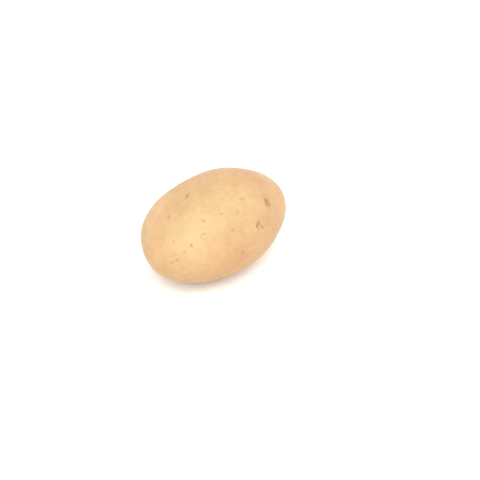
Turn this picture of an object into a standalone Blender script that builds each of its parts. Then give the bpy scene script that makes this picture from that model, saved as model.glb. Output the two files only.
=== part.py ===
"""A potato as it grew: one oval tuber with shallow eyes, the scar of its stem and a flat spot that it rests on.

Metres. +X points to the rose end, where the eyes crowd, and -X to the stem end. +Z is up from the flat spot.
The origin lies on the resting surface, under the middle of the tuber's length and width.
"""

import math
from collections import namedtuple

import bmesh
import bpy
from mathutils import Vector, noise

MM = 0.001
TINY = 0.001 * MM

# Driving dimensions of the tuber
LENGTH = 90.0 * MM
WIDTH = 60.6 * MM
THICKNESS = 54.8 * MM
FLAT_DEPTH = 0.6 * MM

# Low waves all over the skin
WAVE_HEIGHT = 0.35 * MM
WAVE_SPACING = 15.0 * MM

# Shape of an eye: its dent and brow as shares of the eye's width and depth, its bud as a real size
DENT_SIDE_SHARE = 0.38
DENT_BACK_SHARE = 0.20
DENT_FRONT_SHARE = 0.52
DEEPEST_SHARE = -0.14
BROW_RADIUS_SHARE = 0.50
BROW_HEIGHT_SHARE = 0.34
BROW_THICKNESS = 0.80 * MM
BUD_HEIGHT = 0.40 * MM
BUD_RADIUS = 0.75 * MM

# The scar where the stem was attached: a ringed dimple
SCAR_RADIUS = 1.9 * MM
SCAR_DEPTH = 1.3 * MM
SCAR_RIM_RADIUS = 3.1 * MM
SCAR_RIM_HEIGHT = 0.30 * MM
SCAR_RIM_THICKNESS = 1.0 * MM

# The ball that the tuber is shaped from, and how far from a mark it is split once and twice
BALL_SUBDIVISIONS = 5
SPLIT_REACHES = (7.5 * MM, 4.6 * MM)

SMOOTH_ANGLE = math.radians(50)
SKIN_COLOUR = (0.72, 0.46, 0.23, 1.0)
SKIN_ROUGHNESS = 0.6

# A place on the skin is told by its distance along the tuber, from the middle towards the rose end, and by
# its turn about the length in degrees: 0 is on top, 90 on the -Y side, 180 underneath and 270 on the +Y side.
Eye = namedtuple("Eye", "along turn width depth")
EYES = (
    Eye(22.1 * MM, 46, 5.6 * MM, 0.75 * MM),
    Eye(9.8 * MM, 64, 5.2 * MM, 0.70 * MM),
    Eye(-15.3 * MM, 353, 3.6 * MM, 0.35 * MM),
    Eye(17.0 * MM, 200, 6.0 * MM, 0.90 * MM),
    Eye(26.0 * MM, 288, 6.2 * MM, 1.00 * MM),
    Eye(1.0 * MM, 262, 6.4 * MM, 1.00 * MM),
    Eye(-9.0 * MM, 140, 5.6 * MM, 0.80 * MM),
    Eye(-23.0 * MM, 216, 5.4 * MM, 0.75 * MM),
    Eye(34.0 * MM, 128, 5.4 * MM, 0.95 * MM),
    Eye(39.0 * MM, 338, 4.8 * MM, 0.90 * MM),
    Eye(42.5 * MM, 214, 4.6 * MM, 1.00 * MM),
)
STEM_SCAR_ALONG = -41.4 * MM
STEM_SCAR_TURN = 234

# Broad swells and hollows of the tuber, each at a place, with its height and how far it spreads
Swell = namedtuple("Swell", "along turn height spread")
SWELLS = (
    Swell(-29.0 * MM, 292, 0.85 * MM, 13 * MM),
    Swell(-42.3 * MM, 240, -1.2 * MM, 11 * MM),
    Swell(17.0 * MM, 318, 0.3 * MM, 12 * MM),
    Swell(42.0 * MM, 35, 0.5 * MM, 11 * MM),
    Swell(30.6 * MM, 110, -0.45 * MM, 12 * MM),
    Swell(7.0 * MM, 126, 0.2 * MM, 13 * MM),
    Swell(-20.0 * MM, 118, 0.2 * MM, 11 * MM),
    Swell(-36.0 * MM, 150, 0.25 * MM, 12 * MM),
    Swell(14.0 * MM, 266, 1.1 * MM, 15 * MM),
    Swell(-12.0 * MM, 232, -0.9 * MM, 13 * MM),
    Swell(30.0 * MM, 196, -0.9 * MM, 13 * MM),
)

HALF_SIZES = Vector((LENGTH / 2, WIDTH / 2, THICKNESS / 2))


def clear_scene():
    for obj in list(bpy.data.objects):
        bpy.data.objects.remove(obj)


def oval_point(direction):
    """The point of the plain oval for a direction on the unit ball."""
    return direction * HALF_SIZES


def oval_normal(direction):
    return Vector(d / half for d, half in zip(direction, HALF_SIZES)).normalized()


def direction_of(along, turn):
    """The direction on the unit ball of a place told by its distance along and its turn."""
    share = along / HALF_SIZES.x
    ring = math.sqrt(1 - share * share)
    angle = math.radians(turn)
    return Vector((share, -ring * math.sin(angle), ring * math.cos(angle)))


class Spot:
    """A mark's middle on the plain oval, with the two directions along the skin that it is shaped by."""

    def __init__(self, along, turn):
        direction = direction_of(along, turn)
        normal = oval_normal(direction)
        self.middle = oval_point(direction)
        self.ahead = Vector((1, 0, 0))
        self.ahead = (self.ahead - self.ahead.dot(normal) * normal).normalized()
        self.side = normal.cross(self.ahead)

    def across(self, point):
        """How far the point lies ahead of the middle, towards the rose end, and to its side."""
        offset = point - self.middle
        return offset.dot(self.ahead), offset.dot(self.side)


def hill(distance, spread):
    """A smooth hill, 1 high at its middle and gone at about twice its spread."""
    return math.exp(-((distance / spread) ** 2))


def eye_lift(eye, spot, point):
    """An eye: a dent, steep on its stem side under a curved brow and easing out ahead, with a bud in it."""
    ahead, side = spot.across(point)
    reach = math.hypot(ahead, side)
    if (point - spot.middle).length > 2 * eye.width:
        return 0.0
    from_deepest = ahead - DEEPEST_SHARE * eye.width
    slope_share = DENT_FRONT_SHARE if from_deepest > 0 else DENT_BACK_SHARE
    dent = hill(from_deepest, slope_share * eye.width) * hill(side, DENT_SIDE_SHARE * eye.width)
    behind = max(0.0, -ahead) / max(reach, TINY)
    brow = behind * hill(reach - BROW_RADIUS_SHARE * eye.width, BROW_THICKNESS)
    bud = hill(reach, BUD_RADIUS)
    return BUD_HEIGHT * bud + eye.depth * (BROW_HEIGHT_SHARE * brow - dent)


def scar_lift(spot, point):
    """The stem's scar: a round dimple with a low rim."""
    reach = (point - spot.middle).length
    rim = hill(reach - SCAR_RIM_RADIUS, SCAR_RIM_THICKNESS)
    return SCAR_RIM_HEIGHT * rim - SCAR_DEPTH * hill(reach, SCAR_RADIUS)


def broad_lift(swells, point):
    """What the swells, the hollows and the low waves add to the plain oval."""
    lift = WAVE_HEIGHT * noise.noise(point / WAVE_SPACING)
    for swell, spot in swells:
        lift += swell.height * hill((point - spot.middle).length, swell.spread)
    return lift


def split_near(bm, spots):
    """Splits the ball's edges near the marks, where the skin needs more faces."""
    for reach in SPLIT_REACHES:
        edges = []
        for edge in bm.edges:
            direction = (edge.verts[0].co + edge.verts[1].co).normalized()
            point = oval_point(direction)
            if any((point - spot.middle).length < reach for spot in spots):
                edges.append(edge)
        bmesh.ops.subdivide_edges(bm, edges=edges, cuts=1)
        bmesh.ops.triangulate(bm, faces=bm.faces[:])
        for vert in bm.verts:
            vert.co.normalize()


def shape_tuber(bm, eyes, scar, swells):
    """Moves each point of the unit ball out to the tuber's skin."""
    for vert in bm.verts:
        direction = vert.co.copy()
        point = oval_point(direction)
        lift = broad_lift(swells, point) + scar_lift(scar, point)
        lift += sum(eye_lift(eye, spot, point) for eye, spot in eyes)
        vert.co = point + lift * oval_normal(direction)


def cut_flat_spot(bm):
    """Cuts the lowest sliver off, so that the tuber rests on a small flat spot."""
    floor = min(vert.co.z for vert in bm.verts) + FLAT_DEPTH
    bmesh.ops.bisect_plane(
        bm,
        geom=bm.verts[:] + bm.edges[:] + bm.faces[:],
        plane_co=(0, 0, floor),
        plane_no=(0, 0, -1),
        clear_outer=True,
    )
    rim = [edge for edge in bm.edges if edge.is_boundary]
    bmesh.ops.edgeloop_fill(bm, edges=rim)


def centre_on_origin(bm):
    """Puts the origin on the resting surface, under the middle of the length and the width."""
    corners = [
        (min(values), max(values))
        for values in zip(*(vert.co for vert in bm.verts))
    ]
    (low_x, high_x), (low_y, high_y), (low_z, _) = corners
    offset = Vector((-(low_x + high_x) / 2, -(low_y + high_y) / 2, -low_z))
    bmesh.ops.translate(bm, verts=bm.verts[:], vec=offset)


def skin_material():
    material = bpy.data.materials.new("skin")
    material.use_nodes = True
    shader = material.node_tree.nodes["Principled BSDF"]
    shader.inputs["Base Color"].default_value = SKIN_COLOUR
    shader.inputs["Roughness"].default_value = SKIN_ROUGHNESS
    shader.inputs["Metallic"].default_value = 0.0
    return material


def make_potato(collection):
    eyes = [(eye, Spot(eye.along, eye.turn)) for eye in EYES]
    scar = Spot(STEM_SCAR_ALONG, STEM_SCAR_TURN)
    swells = [(swell, Spot(swell.along, swell.turn)) for swell in SWELLS]

    bm = bmesh.new()
    bmesh.ops.create_icosphere(bm, subdivisions=BALL_SUBDIVISIONS, radius=1)
    split_near(bm, [spot for _, spot in eyes] + [scar])
    shape_tuber(bm, eyes, scar, swells)
    cut_flat_spot(bm)
    centre_on_origin(bm)
    bmesh.ops.recalc_face_normals(bm, faces=bm.faces[:])

    mesh = bpy.data.meshes.new("potato")
    bm.to_mesh(mesh)
    bm.free()
    mesh.shade_smooth()
    mesh.set_sharp_from_angle(angle=SMOOTH_ANGLE)
    mesh.materials.append(skin_material())
    potato = bpy.data.objects.new("potato", mesh)
    collection.objects.link(potato)


def main():
    clear_scene()
    collection = bpy.data.collections.new("Potato")
    bpy.context.scene.collection.children.link(collection)
    make_potato(collection)


main()
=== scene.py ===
"""The looks of one loose potato, lying in a plain white studio.

Its fine skin has eyes, pores, rubbed places and the scar of the stem.

Metres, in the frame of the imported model. +X points along the tuber to the rose end, where the eyes
crowd, and +Z is up from the flat spot that it rests on. A place on the skin is told by its distance
along the tuber, from the middle towards the rose end, and by its turn about the length in degrees:
0 is on top, 90 on the -Y side, 180 underneath and 270 on the +Y side.
"""

import math
import random
from collections import namedtuple

import bmesh
import bpy
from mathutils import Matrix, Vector, noise
from mathutils.bvhtree import BVHTree
from mathutils.kdtree import KDTree


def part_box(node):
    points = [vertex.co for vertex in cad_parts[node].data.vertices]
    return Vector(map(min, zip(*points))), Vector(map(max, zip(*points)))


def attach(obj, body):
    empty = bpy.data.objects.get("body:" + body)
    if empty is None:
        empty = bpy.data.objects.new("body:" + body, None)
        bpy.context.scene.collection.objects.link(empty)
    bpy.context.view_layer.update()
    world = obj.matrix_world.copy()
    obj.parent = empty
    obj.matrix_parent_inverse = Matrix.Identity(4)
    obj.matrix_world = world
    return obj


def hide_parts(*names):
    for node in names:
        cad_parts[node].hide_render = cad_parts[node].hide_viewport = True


MM = 0.001

# Points nearer than this are welded, and no length is divided by less
TINY = 0.001 * MM

# The photograph's view: the camera's turn and rise, the width that the picture spans at the potato,
# the picture's side and the size of a pixel, the pixel where the potato's middle lies, and the lens
# with the distance that gives that width
VIEW_TURN = math.radians(-39.6)
VIEW_RISE = math.radians(40.0)
PICTURE_SPAN = 263.3 * MM
PICTURE_PIXELS = 480
PIXEL = PICTURE_SPAN / PICTURE_PIXELS
POTATO_PIXEL = (214.2, 223.8)
LENS = 100.0
SENSOR_WIDTH = 36.0
CAMERA_DISTANCE = PICTURE_SPAN * LENS / SENSOR_WIDTH

# The plain oval that the marks are placed on: its half sizes, where its middle lies in the packed
# model, and in how many steps the place under a point is found on it
OVAL = Vector((45.0, 30.3, 27.4)) * MM
OVAL_MIDDLE = Vector((-0.312, -0.205, 26.822)) * MM
FOOT_STEPS = 6

# The ball of fine faces that becomes the skin. It is split three times, nearer to a mark each time,
# and a mark is felt up to a distance, all as shares of the mark's reach.
BALL_SUBDIVISIONS = 6
SPLIT_SHARES = (2.4, 1.3, 0.85)
FELT_SHARE = 2.3

# The solid is smoothed this many times before rays are cast at it. Those that lay the skin on it
# start half their length outside the oval and end as far inside.
SMOOTHER_LEVELS = 2
CAST_LENGTH = 8 * MM

# How far a mark reaches, as a share of its width (eyes and scar) or of its length (rubbed places
# and pores)
EYE_REACH_SHARE = 0.72
RUB_REACH_SHARE = 0.5
PORE_REACH_SHARE = 0.75

# An eye's place, its width and depth as in the solid, and how dark it is
Eye = namedtuple("Eye", "along turn width depth shade")
EYES = (
    Eye(22.1 * MM, 46, 5.6 * MM, 0.75 * MM, 0.85),
    Eye(9.8 * MM, 64, 5.2 * MM, 0.70 * MM, 0.42),
    Eye(-15.3 * MM, 353, 3.6 * MM, 0.35 * MM, 0.25),
    Eye(17.0 * MM, 200, 6.0 * MM, 0.90 * MM, 0.80),
    Eye(26.0 * MM, 288, 6.2 * MM, 1.00 * MM, 0.80),
    Eye(1.0 * MM, 262, 6.4 * MM, 1.00 * MM, 0.85),
    Eye(-9.0 * MM, 140, 5.6 * MM, 0.80 * MM, 0.75),
    Eye(-23.0 * MM, 216, 5.4 * MM, 0.75 * MM, 0.75),
    Eye(34.0 * MM, 128, 5.4 * MM, 0.95 * MM, 0.85),
    Eye(39.0 * MM, 338, 4.8 * MM, 0.90 * MM, 0.80),
    Eye(42.5 * MM, 214, 4.6 * MM, 1.00 * MM, 0.90),
)
Scar = namedtuple("Scar", "along turn width")
STEM_SCAR = Scar(-41.4 * MM, 234, 6.2 * MM)

# A pore is a small corky speck. Its slant turns its longer side, in degrees, from the length
# towards a smaller turn. The pores that the photograph shows are told by the pixel where they are
# seen, across and down from the picture's top left corner.
Pore = namedtuple("Pore", "along turn length width slant dark")
SeenPore = namedtuple("SeenPore", "across down length width slant dark")
PHOTOGRAPHED_PORES = (
    SeenPore(264.8, 199.4, 1.9 * MM, 1.3 * MM, 107, 0.40),
    SeenPore(266.2, 205.2, 1.9 * MM, 1.3 * MM, 107, 0.62),
    SeenPore(269.8, 204.7, 1.7 * MM, 1.3 * MM, 0, 0.52),
    SeenPore(259.0, 222.9, 2.1 * MM, 1.5 * MM, 80, 0.76),
    SeenPore(256.9, 226.0, 1.9 * MM, 1.4 * MM, 20, 0.74),
    SeenPore(262.1, 226.7, 2.1 * MM, 1.2 * MM, 107, 0.66),
    SeenPore(242.3, 199.0, 3.2 * MM, 2.0 * MM, -20, 0.38),
    SeenPore(243.7, 203.3, 2.0 * MM, 1.3 * MM, -28, 0.17),
    SeenPore(237.8, 212.4, 2.8 * MM, 0.8 * MM, 27, 0.28),
    SeenPore(221.9, 213.8, 1.0 * MM, 0.9 * MM, 0, 0.75),
    SeenPore(227.2, 193.7, 2.0 * MM, 1.0 * MM, 62, 0.26),
    SeenPore(229.8, 211.2, 1.9 * MM, 0.9 * MM, -28, 0.12),
    SeenPore(203.1, 220.5, 2.6 * MM, 1.5 * MM, 107, 0.40),
    SeenPore(204.3, 233.9, 2.0 * MM, 1.3 * MM, -20, 0.42),
    SeenPore(200.7, 236.5, 1.8 * MM, 1.3 * MM, 40, 0.32),
    SeenPore(202.9, 238.9, 1.6 * MM, 1.2 * MM, 0, 0.20),
    SeenPore(191.4, 245.4, 1.9 * MM, 1.4 * MM, 107, 0.64),
    SeenPore(173.9, 241.8, 2.6 * MM, 1.2 * MM, 62, 0.27),
    SeenPore(162.9, 238.4, 2.8 * MM, 1.3 * MM, 62, 0.17),
    SeenPore(184.7, 252.8, 1.9 * MM, 1.5 * MM, 0, 0.31),
    SeenPore(175.4, 255.2, 1.6 * MM, 1.2 * MM, 0, 0.18),
    SeenPore(177.0, 260.0, 2.1 * MM, 1.6 * MM, 0, 0.41),
    SeenPore(172.0, 262.4, 2.2 * MM, 1.6 * MM, 0, 0.38),
    SeenPore(209.1, 245.1, 1.4 * MM, 1.1 * MM, 62, 0.22),
    SeenPore(169.1, 216.9, 2.8 * MM, 1.8 * MM, 40, 0.35),
    SeenPore(180.1, 215.2, 1.6 * MM, 1.4 * MM, 0, 0.28),
    SeenPore(187.2, 196.0, 4.6 * MM, 1.5 * MM, 28, 0.44),
    SeenPore(242.8, 252.5, 2.3 * MM, 1.7 * MM, 0, 0.34),
    SeenPore(233.3, 230.3, 2.3 * MM, 1.8 * MM, 0, 0.36),
)

# Pores drawn at random: faint ones where the skin faces the photograph's camera by more than
# SEEN_FACING, and darker, closer ones elsewhere. Slimness is the width as a share of the length,
# and a higher rarity leaves fewer dark ones.
PORE_SEED = 41
PORE_TRIES = 1500
PORE_SPACING = 5.0 * MM
FAINT_SPACING = 6.5 * MM
CLEAR_SHARE = 0.5
FAINT_DARK = (0.08, 0.20)
PORE_DARK = (0.25, 0.90)
DARK_RARITY = 1.6
PORE_LENGTH = (0.7 * MM, 1.9 * MM)
PORE_SLIMNESS = (0.45, 1.0)
SEEN_FACING = 0.12

# Places where the outer skin was rubbed off, all out of the photograph's sight
Rub = namedtuple("Rub", "along turn length width slant")
RUBS = (
    Rub(12.0 * MM, 236, 11.0 * MM, 4.5 * MM, 25),
    Rub(-27.0 * MM, 262, 7.0 * MM, 4.0 * MM, -30),
    Rub(22.0 * MM, 158, 8.0 * MM, 3.6 * MM, 60),
    Rub(-12.0 * MM, 176, 9.0 * MM, 5.0 * MM, 10),
    Rub(31.0 * MM, 322, 6.0 * MM, 2.6 * MM, -15),
)

# Soft patches of each tone, with the pixel where the photograph shows their middle, how far they
# spread and how strong they are. The tones are painted in this order. Besides the skin's own tones
# they hold painted light and shade: a painted highlight, painted light and painted shade at the rims.
Patch = namedtuple("Patch", "across down spread strength")
PATCHES = {
    # Lighter, yellower skin: the skin's own straw, with a painted highlight over the middle and painted light
    # near the left end
    "straw_and_painted_light": (
        Patch(190, 235, 11 * MM, 1.0),
        Patch(230, 197, 9 * MM, 0.8),
        Patch(243, 197, 7 * MM, 0.5),
        Patch(215, 215, 9 * MM, 0.6),
        Patch(191, 253, 6 * MM, 0.6),
        Patch(154, 209, 8 * MM, 1.0),
        Patch(149, 226, 6 * MM, 0.6),
        Patch(249, 232, 6 * MM, 0.5),
    ),
    # Browner along the top rim: the skin's own ochre, and painted shade there
    "ochre_and_top_shade": (
        Patch(232, 177, 8 * MM, 1.0),
        Patch(252, 178, 6 * MM, 0.6),
    ),
    # Pinker, mostly towards the rims: the skin's own blush, and painted warm reflected light
    "blush_and_reflected_light": (
        Patch(279, 205, 7 * MM, 0.8),
        Patch(215, 171, 7 * MM, 0.6),
        Patch(165, 215, 7 * MM, 0.5),
        Patch(222, 250, 5 * MM, 0.5),
    ),
    "dun": (
        Patch(262, 190, 4.5 * MM, 0.8),
        Patch(265, 219, 4.0 * MM, 1.0),
        Patch(205, 187, 8 * MM, 0.4),
        Patch(184, 208, 5 * MM, 0.5),
        Patch(166, 232, 6 * MM, 0.4),
    ),
    # Darker and browner along the bottom and the right rims: painted shade with painted warm reflected light
    "tan": (
        Patch(241, 257, 11 * MM, 1.0),
        Patch(214, 274, 9 * MM, 0.7),
        Patch(187, 279, 8 * MM, 0.5),
        Patch(166, 270, 7 * MM, 0.5),
        Patch(273, 231, 8 * MM, 0.5),
        Patch(248, 173, 8 * MM, 1.0),
        Patch(262, 183, 5 * MM, 0.7),
    ),
    # Paler, mostly at the left and right ends: painted light
    "pale": (
        Patch(164, 198, 6 * MM, 0.6),
        Patch(152, 214, 8 * MM, 0.6),
        Patch(285, 203, 6 * MM, 0.6),
        Patch(256, 204, 5 * MM, 0.35),
    ),
}
MARK_TONES = ("pore", "halo", "dent", "cork", "bare")

# Low ripples all over the skin
RIPPLE_HEIGHT = 0.05 * MM
RIPPLE_SPACING = 4.2 * MM

# A ring round a mark's middle: its radius and how far it spreads, as shares of the mark's half size
Ring = namedtuple("Ring", "radius spread")

# Noise that makes an outline ragged, in layers of a spacing and a strength, and the span of noise
# over which what comes and goes along an edge fades in
EYE_RAGGEDNESS = ((1.1 * MM, 1.0), (0.4 * MM, 0.5))
RUB_RAGGEDNESS = ((2.6 * MM, 0.55), (1.0 * MM, 0.30), (0.45 * MM, 0.15))
PATCHY_SPAN = (-0.2, 0.4)

# An eye's crease, dent and side buds. Shares are of the eye's width, and the relief has its full
# height in an eye of the full depth.
FULL_EYE_DEPTH = 0.9 * MM
CREASE_DEPTH = 0.18 * MM
CREASE_THICKNESS = 0.24 * MM
CREASE_RADIUS_SHARE = 0.36
CREASE_WANDER_SHARE = 0.06
DENT_BACK_SHARE = 0.04
DENT_LENGTH_SHARE = 0.38
DENT_WIDTH_SHARE = 0.56
SIDE_BUD_HEIGHT = 0.14 * MM
SIDE_BUD_RADIUS = 0.42 * MM
SIDE_BUD_SHARE = 0.27

# How dark an eye's pieces are, from 0 to 1, before its own shade
DENT_TONE = 0.85
DENT_TONE_WANDER = 0.6
CREASE_TONE = 0.7
BUD_SPECK = 0.40
BUD_SPECK_RADIUS = 0.50 * MM
CREASE_SPECK = 0.30

# A pore's stain, its speck and its rim, with distances as shares of the pore's half sizes
PORE_WANDER = 0.30
PORE_WANDER_SPACING = 0.7 * MM
STAIN_SPREAD = 1.15
SPECK_SPREAD = 0.50
SPECK_WANDER = 0.5
SPECK_WANDER_SPACING = 0.3 * MM
PORE_RIM = Ring(2.1, 0.70)
PORE_DEPTH = 0.11 * MM
PORE_RIM_HEIGHT = 0.035 * MM
STAIN_DEPTH_SHARE = 0.6
SPECK_DEPTH_SHARE = 0.7
STAIN_TONE = 0.80
SPECK_TONE = 0.60
HALO_TONE = 0.5

# A rubbed place: the span over which its skin comes back, and its raised edge
RUB_SPAN = (0.45, 0.80)
RUB_EDGE = Ring(0.78, 0.12)
RUB_DEPTH = 0.06 * MM
RUB_EDGE_HEIGHT = 0.6 * RUB_DEPTH
RUB_EDGE_TONE = 0.30

# The stem's scar: its noise, the span over which its cork ends, its rings, its cracks and the stub
# of the stem
SCAR_WOBBLE = 0.40
SCAR_WOBBLE_SPACING = 1.7 * MM
SCAR_GRAIN = 0.16
SCAR_GRAIN_SPACING = 0.5 * MM
SCAR_GRAIN_HEIGHT = 0.11 * MM
CORK_SPAN = (0.55, 1.15)
COLLAR = Ring(0.86, 0.16)
COLLAR_HEIGHT_SHARE = 0.6
CRACK_RING = Ring(0.60, 0.32)
CRACK_DEPTH = 0.14 * MM
CRACK_THINNESS = 0.10
CRACKS_AROUND = 1.7
CRACK_TWIST = 0.9
CRACK_NOISE_PLACE = 4
DARK_RING = Ring(0.34, 0.13)
STUB_HEIGHT = 0.60 * MM
STUB_RADIUS = 0.75 * MM
STUB_GRAIN = 0.5

# How strong the tones of the scar's pieces are, from 0 to 1
CORK_TONE = 0.70
CORK_TONE_WANDER = 0.5
COLLAR_TONE = 0.3
STUB_TONE = 0.70
CRACK_TONE = 0.30
DARK_RING_TONE = 0.50

# Colours of the skin, in linear light. Straw, ochre and blush are its own tones, and in the patches
# also stand for a painted highlight and painted light, painted shade at the top and painted warm
# reflected light at the rims. The tan is painted shade and the pale is painted light, mostly at the rims.
GOLD = (0.524, 0.332, 0.159)
STRAW_AND_PAINTED_LIGHT = (0.538, 0.373, 0.183)
OCHRE_AND_TOP_SHADE = (0.498, 0.302, 0.124)
BLUSH_AND_REFLECTED_LIGHT = (0.550, 0.326, 0.174)
DUN = (0.474, 0.304, 0.138)
RIM_SHADE_TAN = (0.482, 0.272, 0.124)
PAINTED_LIGHT_PALE = (0.600, 0.388, 0.208)
PATCH_COLOURS = {"straw_and_painted_light": STRAW_AND_PAINTED_LIGHT, "ochre_and_top_shade": OCHRE_AND_TOP_SHADE, "blush_and_reflected_light": BLUSH_AND_REFLECTED_LIGHT, "dun": DUN, "tan": RIM_SHADE_TAN, "pale": PAINTED_LIGHT_PALE}
PORE_BROWN = (0.235, 0.115, 0.030)
EYE_BROWN = (0.300, 0.165, 0.055)
CORK = (0.345, 0.205, 0.095)
BARE = (0.580, 0.385, 0.190)
HALO = (0.580, 0.385, 0.205)
NET_BROWN = (0.340, 0.200, 0.085)
CORK_PAINT = 0.85
PORE_PAINT = 0.85

# Mottling made of noise: the size of its lumps, how many layers of finer noise it has, and the span
# of noise that becomes a span of strength
Mottle = namedtuple("Mottle", "size detail low high weakest strongest")
STRAW_MOTTLE = Mottle(17 * MM, 2.0, 0.50, 0.78, 0.0, 0.7)
OCHRE_MOTTLE = Mottle(11 * MM, 3.0, 0.52, 0.78, 0.0, 0.6)
BLUSH_MOTTLE = Mottle(13 * MM, 3.0, 0.52, 0.80, 0.0, 0.6)
BROAD_SHADE = Mottle(3.4 * MM, 3.0, 0.25, 0.75, 0.95, 1.05)
FINE_SHADE = Mottle(0.5 * MM, 3.0, 0.28, 0.72, 0.96, 1.04)
NETTED = Mottle(7 * MM, 3.0, 0.42, 0.68, 0.0, 0.20)
FLECKED = Mottle(5 * MM, 2.0, 0.50, 0.62, 0.0, 1.0)
WORN = Mottle(1.2 * MM, 3.0, 0.3, 0.7, 0.45, 0.85)
ROUGHNESS = Mottle(2.2 * MM, 3.0, 0.3, 0.7, 0.50, 0.62)
CORK_ROUGHNESS = 0.25
PORE_ROUGHNESS = 0.20

# Tiny flecks, and the fine net of lines in the skin. A span is of the distance from a fleck or a
# line, as a share of the spacing.
FLECK_SPACING = 1.9 * MM
FLECK_SPAN = (0.05, 0.13)
FLECK_STRENGTH = 0.40
NET_SPACING = 0.75 * MM
NET_WANDER = 1.1 * NET_SPACING
NET_SPAN = (0.02, 0.20)
NET_GROOVE_SPAN = (0.0, 0.20)
NET_GROOVE_DEPTH = 0.014 * MM

# Bumps of the material: the size of their lumps, how many layers of finer noise they have and
# their height
Bumps = namedtuple("Bumps", "size detail height")
SCURF = Bumps(0.5 * MM, 4.0, 0.05 * MM)
WRINKLES = Bumps(1.6 * MM, 3.0, 0.10 * MM)

# The rest of the skin's finish, and the floor's
SKIN_FINISH = {
    "IOR": 1.45,
    "Subsurface Weight": 0.12,
    "Subsurface Radius": (1.0, 0.45, 0.2),
    "Subsurface Scale": 1.5 * MM,
}
FLOOR_FINISH = {
    "Base Color": (0.92, 0.92, 0.92, 1.0),
    "Roughness": 0.9,
    "Specular IOR Level": 0.2,
}
FLOOR_HALF = 2.4

# The sockets of a Mix node that mixes colours, by number, because those for numbers and vectors
# have the same names
MIX_SHARE = 0
MIX_FIRST_COLOUR = 6
MIX_SECOND_COLOUR = 7
MIX_RESULT_COLOUR = 2

WORLD_COLOUR = (1.0, 0.985, 0.97, 1.0)
WORLD_STRENGTH = 1.12

# Soft lights: where they hang, as seen in the picture (right, up, back), how far off, how wide and
# how strong
Softbox = namedtuple("Softbox", "name right up back distance side watts")
SOFTBOXES = (
    Softbox("main_softbox", 0.05, 0.20, 0.95, 1.5, 1.0, 17.0),
    Softbox("far_softbox", 0.35, 0.75, -0.55, 1.6, 1.2, 6.0),
)


def oval_place(direction):
    """The point of the plain oval for a direction on the unit ball, told from the oval's middle."""
    return direction * OVAL


def oval_normal(direction):
    return Vector(d / half for d, half in zip(direction, OVAL)).normalized()


def direction_to(point):
    """The direction on the unit ball of a point that lies on the oval or near it."""
    return Vector(p / half for p, half in zip(point, OVAL)).normalized()


def direction_of(along, turn):
    """The direction on the unit ball of a place told by its distance along and its turn."""
    share = along / OVAL.x
    ring = math.sqrt(1 - share * share)
    angle = math.radians(turn)
    return Vector((share, -ring * math.sin(angle), ring * math.cos(angle)))


def place_of(direction):
    """The distance along and the turn of the place that lies in a direction on the unit ball."""
    return direction.x * OVAL.x, math.degrees(math.atan2(-direction.y, direction.z))


def direction_under(point):
    """The direction of the oval's place whose normal runs through the point, found step by step."""
    foot = point
    for _ in range(FOOT_STEPS):
        direction = direction_to(foot)
        normal = oval_normal(direction)
        foot = point - (point - oval_place(direction)).dot(normal) * normal
    return direction_to(foot)


def picture_directions():
    """Right, up and back towards the camera, as the photograph is seen."""
    right = Vector((math.cos(VIEW_TURN), math.sin(VIEW_TURN), 0))
    flat = math.cos(VIEW_RISE)
    back = Vector((math.sin(VIEW_TURN) * flat, -math.cos(VIEW_TURN) * flat, math.sin(VIEW_RISE)))
    return right, back.cross(right), back


def on_picture(across, down):
    """Where a pixel lies from the picture's middle, in metres at the potato."""
    right, up, _ = picture_directions()
    half = PICTURE_PIXELS / 2
    return (right * (across - half) + up * (half - down)) * PIXEL


def camera_place(middle):
    """Where the camera stands for the potato's middle to fall on its pixel."""
    _, _, back = picture_directions()
    return middle - on_picture(*POTATO_PIXEL) + back * CAMERA_DISTANCE


class Sight:
    """The solid as the photograph's camera sees it."""

    def __init__(self, solid, camera):
        self.solid = solid
        self.camera = camera

    def direction(self, across, down):
        """The direction on the unit ball of the place that is seen at the pixel."""
        _, _, back = picture_directions()
        ray = on_picture(across, down) - back * CAMERA_DISTANCE
        hit, _, _, _ = self.solid.ray_cast(self.camera, ray.normalized())
        return direction_under(hit - OVAL_MIDDLE)


def hill(distance, spread):
    """A smooth hill, 1 high at its middle and gone at about twice its spread."""
    return math.exp(-((distance / spread) ** 2))


def on_ring(distance, ring):
    """A smooth ridge, 1 high, that runs round a mark's middle."""
    return hill(distance - ring.radius, ring.spread)


def step_up(value, low, high):
    """Rises smoothly from 0 at low to 1 at high."""
    share = min(1.0, max(0.0, (value - low) / (high - low)))
    return share * share * (3 - 2 * share)


def roughened(value, place, layers):
    """The value, pushed up and down by layers of noise, each with its spacing and its strength."""
    for spacing, strength in layers:
        value += strength * noise.noise(place / spacing)
    return value


class Mark:
    """A mark on the skin.

    It has its middle on the plain oval, two directions along the skin, and the distance that it reaches.
    """

    def __init__(self, what, reach):
        direction = direction_of(what.along, what.turn)
        normal = oval_normal(direction)
        ahead = Vector((1, 0, 0))
        self.what = what
        self.reach = reach
        self.middle = oval_place(direction)
        self.ahead = (ahead - ahead.dot(normal) * normal).normalized()
        self.side = normal.cross(self.ahead)

    def across(self, place, slant=0.0):
        """How far the place lies from the middle along the mark's longer side and across it."""
        offset = place - self.middle
        ahead, side = offset.dot(self.ahead), offset.dot(self.side)
        turn = math.radians(slant)
        return (
            ahead * math.cos(turn) + side * math.sin(turn),
            side * math.cos(turn) - ahead * math.sin(turn),
        )

    def oval_distance(self, place):
        """How far the place lies from the middle of a long mark, as a share of its half sizes."""
        long, short = self.across(place, self.what.slant)
        return math.hypot(long / (self.what.length / 2), short / (self.what.width / 2))


class Skin:
    """What one point of the skin gathers: its lift and its tones."""

    TONES = MARK_TONES + tuple(PATCHES)

    def __init__(self):
        self.lift = 0.0
        self.tones = dict.fromkeys(self.TONES, 0.0)

    def add(self, tone, amount):
        self.tones[tone] = min(1.0, self.tones[tone] + amount)


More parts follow.
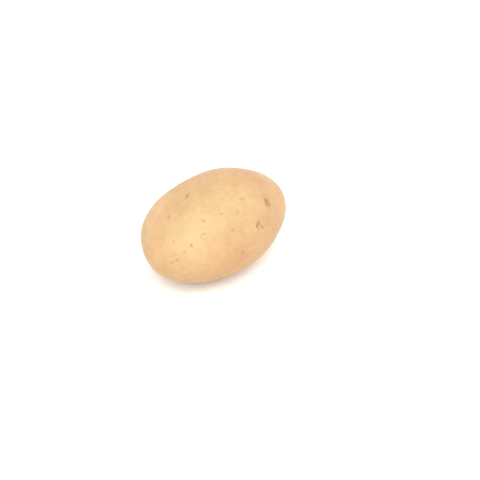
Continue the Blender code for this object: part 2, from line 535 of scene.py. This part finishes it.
def mark_eye(skin, mark, place):
    """A sharp crease under the brow, two small side buds, and the darker skin in the dent."""
    eye = mark.what
    ahead, side = mark.across(place)
    reach = math.hypot(ahead, side)
    behind = max(0.0, -ahead) / max(reach, TINY)
    ragged = roughened(0.0, place, EYE_RAGGEDNESS)
    radius = (CREASE_RADIUS_SHARE + CREASE_WANDER_SHARE * ragged) * eye.width
    crease = behind * hill(reach - radius, CREASE_THICKNESS)
    from_dent = ahead + DENT_BACK_SHARE * eye.width
    dent = hill(from_dent, DENT_LENGTH_SHARE * eye.width) * hill(side, DENT_WIDTH_SHARE * eye.width)
    strength = eye.depth / FULL_EYE_DEPTH
    skin.lift -= CREASE_DEPTH * strength * crease
    for sign in (-1, 1):
        from_bud = math.hypot(from_dent, side - sign * SIDE_BUD_SHARE * eye.width)
        skin.lift += SIDE_BUD_HEIGHT * strength * hill(from_bud, SIDE_BUD_RADIUS)
    dent_tone = DENT_TONE + DENT_TONE_WANDER * ragged
    skin.add("dent", eye.shade * (dent_tone * dent + CREASE_TONE * crease))
    bud_speck = BUD_SPECK * hill(reach, BUD_SPECK_RADIUS)
    crease_speck = CREASE_SPECK * crease * step_up(ragged, *PATCHY_SPAN)
    skin.add("pore", eye.shade * (bud_speck + crease_speck))


def mark_pore(skin, mark, place):
    """A sunken speck in a soft brown stain, with a low pale rim."""
    dark = mark.what.dark
    distance = mark.oval_distance(place)
    distance *= 1 + PORE_WANDER * noise.noise(place / PORE_WANDER_SPACING)
    stain = hill(distance, STAIN_SPREAD)
    speck = hill(distance + SPECK_WANDER * noise.noise(place / SPECK_WANDER_SPACING), SPECK_SPREAD)
    rim = on_ring(distance, PORE_RIM)
    depth = PORE_DEPTH * dark * (STAIN_DEPTH_SHARE * stain + SPECK_DEPTH_SHARE * speck)
    skin.lift += PORE_RIM_HEIGHT * dark * rim - depth
    skin.add("pore", dark * (STAIN_TONE * stain + SPECK_TONE * speck))
    skin.add("halo", HALO_TONE * dark * rim)


def mark_rub(skin, mark, place):
    """A patch with ragged edges where the outer skin is gone."""
    ragged = roughened(mark.oval_distance(place), place, RUB_RAGGEDNESS)
    gone = 1 - step_up(ragged, *RUB_SPAN)
    coarse_spacing, _ = RUB_RAGGEDNESS[0]
    edge = on_ring(ragged, RUB_EDGE) * step_up(noise.noise(place / coarse_spacing), *PATCHY_SPAN)
    skin.lift += RUB_EDGE_HEIGHT * edge - RUB_DEPTH * gone
    skin.add("bare", gone)
    skin.add("cork", RUB_EDGE_TONE * edge)


def mark_scar(skin, mark, place):
    """The stem's scar: a corky ring with cracks across it and the dry stub of the stem in its dimple."""
    ahead, side = mark.across(place)
    reach = math.hypot(ahead, side)
    around = Vector((ahead, side, 0)) / max(reach, TINY)
    wobble = noise.noise(place / SCAR_WOBBLE_SPACING)
    grain = noise.noise(place / SCAR_GRAIN_SPACING)
    share = reach / (mark.what.width / 2) + SCAR_WOBBLE * wobble + SCAR_GRAIN * grain
    cork = 1 - step_up(share, *CORK_SPAN)
    crack_noise = noise.noise(CRACKS_AROUND * around + Vector((CRACK_NOISE_PLACE, 0, CRACK_TWIST * share)))
    crack = hill(crack_noise, CRACK_THINNESS) * on_ring(share, CRACK_RING)
    collar = on_ring(share, COLLAR)
    stub = hill(reach, STUB_RADIUS) * (1 + STUB_GRAIN * grain)
    rough = SCAR_GRAIN_HEIGHT * (cork * grain + COLLAR_HEIGHT_SHARE * collar)
    skin.lift += STUB_HEIGHT * stub + rough - CRACK_DEPTH * crack
    cork_tone = CORK_TONE + CORK_TONE_WANDER * wobble + CORK_TONE_WANDER * grain
    skin.add("cork", cork * cork_tone + COLLAR_TONE * collar)
    dark_ring = DARK_RING_TONE * on_ring(share, DARK_RING)
    skin.add("pore", STUB_TONE * stub + CRACK_TONE * crack + dark_ring)


MAKERS = {Eye: mark_eye, Pore: mark_pore, Rub: mark_rub, Scar: mark_scar}


def photographed_pores(sight):
    """The pores that the photograph shows, at their places on the skin."""
    pores = []
    for seen in PHOTOGRAPHED_PORES:
        along, turn = place_of(sight.direction(seen.across, seen.down))
        pores.append(Pore(along, turn, seen.length, seen.width, seen.slant, seen.dark))
    return pores


def random_pores(fixed):
    """Pores scattered over the skin, clear of each other and of the marks that have their own place."""
    draw = random.Random(PORE_SEED)
    _, _, back = picture_directions()
    taken = [(mark.middle, CLEAR_SHARE * mark.reach) for mark in fixed]
    pores = []
    for _ in range(PORE_TRIES):
        direction = Vector(draw.gauss(0, 1) for _ in range(3)).normalized()
        length = draw.uniform(*PORE_LENGTH)
        width = length * draw.uniform(*PORE_SLIMNESS)
        slant = draw.uniform(0, 180)
        dark_share = draw.random() ** DARK_RARITY
        place = oval_place(direction)
        seen = oval_normal(direction).dot(back) > SEEN_FACING
        spacing = FAINT_SPACING if seen else PORE_SPACING
        if any((place - other).length < spacing + clear for other, clear in taken):
            continue
        faintest, darkest = FAINT_DARK if seen else PORE_DARK
        along, turn = place_of(direction)
        dark = faintest + (darkest - faintest) * dark_share
        pores.append(Pore(along, turn, length, width, slant, dark))
        taken.append((place, 0.0))
    return pores


def all_marks(sight):
    marks = [Mark(eye, EYE_REACH_SHARE * eye.width) for eye in EYES]
    marks.append(Mark(STEM_SCAR, EYE_REACH_SHARE * STEM_SCAR.width))
    marks += [Mark(rub, RUB_REACH_SHARE * rub.length) for rub in RUBS]
    marks += [Mark(pore, PORE_REACH_SHARE * pore.length) for pore in photographed_pores(sight)]
    marks += [Mark(pore, PORE_REACH_SHARE * pore.length) for pore in random_pores(marks)]
    return marks


class MarkFinder:
    """Finds the marks around a place on the oval."""

    def __init__(self, marks):
        self.marks = marks
        self.widest = max(mark.reach for mark in marks)
        self.tree = KDTree(len(marks))
        for index, mark in enumerate(marks):
            self.tree.insert(mark.middle, index)
        self.tree.balance()

    def around(self, place, share):
        """The marks whose reach, times the share, takes in the place."""
        found = self.tree.find_range(place, share * self.widest)
        return [self.marks[index] for _, index, gap in found if gap < share * self.marks[index].reach]


def add_object(name, data):
    thing = bpy.data.objects.new(name, data)
    bpy.context.scene.collection.objects.link(thing)
    return thing


def mesh_from(name, bm):
    mesh = bpy.data.meshes.new(name)
    bm.to_mesh(mesh)
    bm.free()
    return mesh


def smooth_solid(node):
    """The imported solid, welded and smoothed, as a tree that rays can be cast at."""
    bm = bmesh.new()
    bm.from_mesh(node.data)
    bmesh.ops.remove_doubles(bm, verts=bm.verts[:], dist=TINY)
    mesh = mesh_from("solid", bm)
    solid = add_object("solid", mesh)
    smoother = solid.modifiers.new("smoother", "SUBSURF")
    smoother.levels = smoother.render_levels = SMOOTHER_LEVELS
    tree = BVHTree.FromObject(solid, bpy.context.evaluated_depsgraph_get())
    bpy.data.objects.remove(solid)
    bpy.data.meshes.remove(mesh)
    return tree


def fine_ball(finder):
    """A ball of fine triangles, split three times towards the marks."""
    bm = bmesh.new()
    bmesh.ops.create_icosphere(bm, subdivisions=BALL_SUBDIVISIONS, radius=1)
    for share in SPLIT_SHARES:
        edges = []
        for edge in bm.edges:
            direction = (edge.verts[0].co + edge.verts[1].co).normalized()
            if finder.around(oval_place(direction), share):
                edges.append(edge)
        bmesh.ops.subdivide_edges(bm, edges=edges, cuts=1)
        bmesh.ops.triangulate(bm, faces=bm.faces[:])
        for vert in bm.verts:
            vert.co.normalize()
    return bm


def lay_on_solid(bm, solid):
    """Moves the ball's points onto the solid, and returns their places on the plain oval."""
    places = []
    for vert in bm.verts:
        direction = vert.co.copy()
        place, normal = oval_place(direction), oval_normal(direction)
        start = OVAL_MIDDLE + place + normal * CAST_LENGTH / 2
        hit, _, _, _ = solid.ray_cast(start, -normal, CAST_LENGTH)
        vert.co = hit
        places.append(place)
    return places


def patch_middles(patches, sight):
    return [(patch, oval_place(sight.direction(patch.across, patch.down))) for patch in patches]


def patch_strength(patches, place):
    """How strong the patches of one tone are at a place."""
    return sum(patch.strength * hill((place - middle).length, patch.spread) for patch, middle in patches)


def finish_skin(bm, places, finder, sight):
    """Gives each point of the skin its relief and its tones, and keeps the flat spot on the floor."""
    layers = {tone: bm.verts.layers.float.new(tone) for tone in Skin.TONES}
    patches = {tone: patch_middles(seen, sight) for tone, seen in PATCHES.items()}
    bm.normal_update()
    for vert, place in zip(bm.verts, places):
        skin = Skin()
        skin.lift = RIPPLE_HEIGHT * noise.noise(place / RIPPLE_SPACING)
        for mark in finder.around(place, FELT_SHARE):
            MAKERS[type(mark.what)](skin, mark, place)
        # The patch tones, among them a painted highlight, painted light and painted shade
        for tone, middles in patches.items():
            skin.add(tone, patch_strength(middles, place))
        for tone, layer in layers.items():
            vert[layer] = skin.tones[tone]
        vert.co += skin.lift * vert.normal
        vert.co.z = max(0.0, vert.co.z)


def finish_material(name, finish):
    """A new material with the finish set on its shader's own sockets."""
    material = bpy.data.materials.new(name)
    material.use_nodes = True
    shader = material.node_tree.nodes["Principled BSDF"]
    for socket, value in finish.items():
        shader.inputs[socket].default_value = value
    return material


class Painter:
    """Adds nodes to a material and joins them."""

    def __init__(self, material):
        self.nodes = material.node_tree.nodes
        self.links = material.node_tree.links
        self.shader = self.nodes["Principled BSDF"]
        self.place = self.nodes.new("ShaderNodeTexCoord").outputs["Object"]

    def feed(self, socket, value):
        """Joins an output to the socket, or sets the socket's own colour or number."""
        if isinstance(value, bpy.types.NodeSocket):
            self.links.new(value, socket)
        elif socket.type == "RGBA":
            socket.default_value = (*value, 1.0)
        else:
            socket.default_value = value

    def tone(self, name):
        """One of the tones that the mesh carries."""
        node = self.nodes.new("ShaderNodeAttribute")
        node.attribute_name = name
        return node.outputs["Fac"]

    def noise(self, size, detail):
        """Noise with lumps of about that size, from 0 to 1."""
        node = self.nodes.new("ShaderNodeTexNoise")
        node.inputs["Scale"].default_value = 1 / size
        node.inputs["Detail"].default_value = detail
        self.links.new(self.place, node.inputs["Vector"])
        return node.outputs["Fac"]

    def cells(self, size, feature, place):
        """The distance from scattered points, or from the lines between them, as a share of their spacing."""
        node = self.nodes.new("ShaderNodeTexVoronoi")
        node.feature = feature
        node.inputs["Scale"].default_value = 1 / size
        self.links.new(place, node.inputs["Vector"])
        return node.outputs["Distance"]

    def warped(self, size, amount):
        """The place on the piece, pushed about by noise."""
        push = self.nodes.new("ShaderNodeTexNoise")
        push.inputs["Scale"].default_value = 1 / size
        self.links.new(self.place, push.inputs["Vector"])
        add = self.nodes.new("ShaderNodeVectorMath")
        add.operation = "MULTIPLY_ADD"
        self.links.new(push.outputs["Color"], add.inputs[0])
        add.inputs[1].default_value = (amount, amount, amount)
        self.links.new(self.place, add.inputs[2])
        return add.outputs["Vector"]

    def spread(self, value, low, high, out_low=0.0, out_high=1.0):
        """Maps the span from low to high onto another one, smoothly and clamped."""
        node = self.nodes.new("ShaderNodeMapRange")
        node.interpolation_type = "SMOOTHSTEP"
        for name, number in (
            ("From Min", low),
            ("From Max", high),
            ("To Min", out_low),
            ("To Max", out_high),
        ):
            node.inputs[name].default_value = number
        self.feed(node.inputs["Value"], value)
        return node.outputs["Result"]

    def mottle(self, mottle):
        """Noise turned into a strength that comes and goes over the skin."""
        lumps = self.noise(mottle.size, mottle.detail)
        return self.spread(lumps, mottle.low, mottle.high, mottle.weakest, mottle.strongest)

    def reckon(self, operation, first, second):
        node = self.nodes.new("ShaderNodeMath")
        node.operation = operation
        self.feed(node.inputs[0], first)
        self.feed(node.inputs[1], second)
        return node.outputs["Value"]

    def total(self, first, second):
        return self.reckon("ADD", first, second)

    def product(self, first, second):
        return self.reckon("MULTIPLY", first, second)

    def tint(self, colour, other, share, blend="MIX"):
        """The colour, taken towards the other one by the share, or blended with it in another way."""
        node = self.nodes.new("ShaderNodeMix")
        node.data_type = "RGBA"
        node.blend_type = blend
        self.feed(node.inputs[MIX_SHARE], share)
        self.feed(node.inputs[MIX_FIRST_COLOUR], colour)
        self.feed(node.inputs[MIX_SECOND_COLOUR], other)
        return node.outputs[MIX_RESULT_COLOUR]

    def bump(self, lumps, height, below=None):
        """Bumps of that height, on top of other bumps where those are given."""
        node = self.nodes.new("ShaderNodeBump")
        node.inputs["Distance"].default_value = height
        self.feed(node.inputs["Height"], lumps)
        if below is not None:
            self.links.new(below, node.inputs["Normal"])
        return node.outputs["Normal"]


def skin_net(paint):
    """How far the place is from the fine net of lines that the skin has."""
    return paint.cells(NET_SPACING, "DISTANCE_TO_EDGE", paint.warped(NET_SPACING, NET_WANDER))


def paint_tones(paint):
    """The golden skin with its mottling, its soft patches with a painted highlight, painted light and painted
    shade, its shading and the fine net.
    """
    colour = paint.tint(GOLD, STRAW_AND_PAINTED_LIGHT, paint.mottle(STRAW_MOTTLE))
    colour = paint.tint(colour, OCHRE_AND_TOP_SHADE, paint.mottle(OCHRE_MOTTLE))
    colour = paint.tint(colour, BLUSH_AND_REFLECTED_LIGHT, paint.mottle(BLUSH_MOTTLE))
    # The patches: the skin's own tones, and a painted highlight, painted light and painted shade at the rims
    for tone in PATCHES:
        colour = paint.tint(colour, PATCH_COLOURS[tone], paint.tone(tone))
    shade = paint.product(paint.mottle(BROAD_SHADE), paint.mottle(FINE_SHADE))
    colour = paint.tint(colour, shade, 1.0, "MULTIPLY")
    net = paint.spread(skin_net(paint), *NET_SPAN, 1.0, 0.0)
    return paint.tint(colour, NET_BROWN, paint.product(net, paint.mottle(NETTED)))


def paint_marks(paint, colour):
    """Flecks, the pale rims of pores, rubbed places, eyes, cork and pores."""
    flecks = paint.spread(paint.cells(FLECK_SPACING, "F1", paint.place), *FLECK_SPAN, FLECK_STRENGTH, 0.0)
    colour = paint.tint(colour, PORE_BROWN, paint.product(flecks, paint.mottle(FLECKED)))
    colour = paint.tint(colour, HALO, paint.tone("halo"))
    colour = paint.tint(colour, BARE, paint.product(paint.tone("bare"), paint.mottle(WORN)))
    colour = paint.tint(colour, EYE_BROWN, paint.tone("dent"))
    colour = paint.tint(colour, CORK, paint.product(paint.tone("cork"), CORK_PAINT))
    return paint.tint(colour, PORE_BROWN, paint.product(paint.tone("pore"), PORE_PAINT))


def skin_roughness(paint):
    """The skin's roughness, higher on cork and pores."""
    rough = paint.mottle(ROUGHNESS)
    rough = paint.total(rough, paint.product(paint.tone("cork"), CORK_ROUGHNESS))
    return paint.total(rough, paint.product(paint.tone("pore"), PORE_ROUGHNESS))


def skin_bumps(paint):
    """Fine scurf, the grooves of the net, and wrinkles over both."""
    scurf = paint.bump(paint.noise(SCURF.size, SCURF.detail), SCURF.height)
    grooves = paint.bump(paint.spread(skin_net(paint), *NET_GROOVE_SPAN), NET_GROOVE_DEPTH, scurf)
    return paint.bump(paint.noise(WRINKLES.size, WRINKLES.detail), WRINKLES.height, grooves)


def skin_material():
    material = finish_material("potato_skin", SKIN_FINISH)
    paint = Painter(material)
    paint.feed(paint.shader.inputs["Base Color"], paint_marks(paint, paint_tones(paint)))
    paint.feed(paint.shader.inputs["Roughness"], skin_roughness(paint))
    paint.feed(paint.shader.inputs["Normal"], skin_bumps(paint))
    return material


def make_skin(node, middle):
    """The potato's skin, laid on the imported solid, with its relief and its tones."""
    solid = smooth_solid(node)
    sight = Sight(solid, camera_place(middle))
    finder = MarkFinder(all_marks(sight))
    bm = fine_ball(finder)
    places = lay_on_solid(bm, solid)
    finish_skin(bm, places, finder, sight)
    mesh = mesh_from("potato_skin", bm)
    mesh.shade_smooth()
    mesh.materials.append(skin_material())
    return add_object("potato_skin", mesh)


def add_camera(middle):
    _, _, back = picture_directions()
    data = bpy.data.cameras.new("camera")
    data.lens = LENS
    data.sensor_width = SENSOR_WIDTH
    camera = add_object("camera", data)
    camera.location = camera_place(middle)
    camera.rotation_euler = back.to_track_quat("Z", "Y").to_euler()
    bpy.context.scene.camera = camera


def add_floor():
    bm = bmesh.new()
    bmesh.ops.create_grid(bm, x_segments=1, y_segments=1, size=FLOOR_HALF)
    mesh = mesh_from("floor", bm)
    mesh.materials.append(finish_material("floor", FLOOR_FINISH))
    floor = add_object("floor", mesh)


def add_softbox(softbox, middle):
    right, up, back = picture_directions()
    towards = (softbox.right * right + softbox.up * up + softbox.back * back).normalized()
    data = bpy.data.lights.new(softbox.name, "AREA")
    data.size = softbox.side
    data.energy = softbox.watts
    lamp = add_object(softbox.name, data)
    lamp.location = middle + towards * softbox.distance
    lamp.rotation_euler = towards.to_track_quat("Z", "Y").to_euler()


def light_studio(middle):
    world = bpy.data.worlds.new("studio")
    bpy.context.scene.world = world
    world.use_nodes = True
    background = world.node_tree.nodes["Background"]
    background.inputs["Color"].default_value = WORLD_COLOUR
    background.inputs["Strength"].default_value = WORLD_STRENGTH
    for softbox in SOFTBOXES:
        add_softbox(softbox, middle)
    bpy.context.scene.view_settings.view_transform = "Standard"


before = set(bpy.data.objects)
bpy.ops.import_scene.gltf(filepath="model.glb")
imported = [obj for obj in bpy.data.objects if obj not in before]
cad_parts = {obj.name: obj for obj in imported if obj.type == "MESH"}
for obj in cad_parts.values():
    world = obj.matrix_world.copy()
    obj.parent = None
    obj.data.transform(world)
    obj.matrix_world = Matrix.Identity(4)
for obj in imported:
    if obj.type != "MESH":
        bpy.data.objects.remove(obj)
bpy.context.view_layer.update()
low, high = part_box("potato")
middle = (low + high) / 2

add_camera(middle)
skin = make_skin(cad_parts["potato"], middle)
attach(skin, "root")
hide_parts("potato")

add_floor()
light_studio(middle)
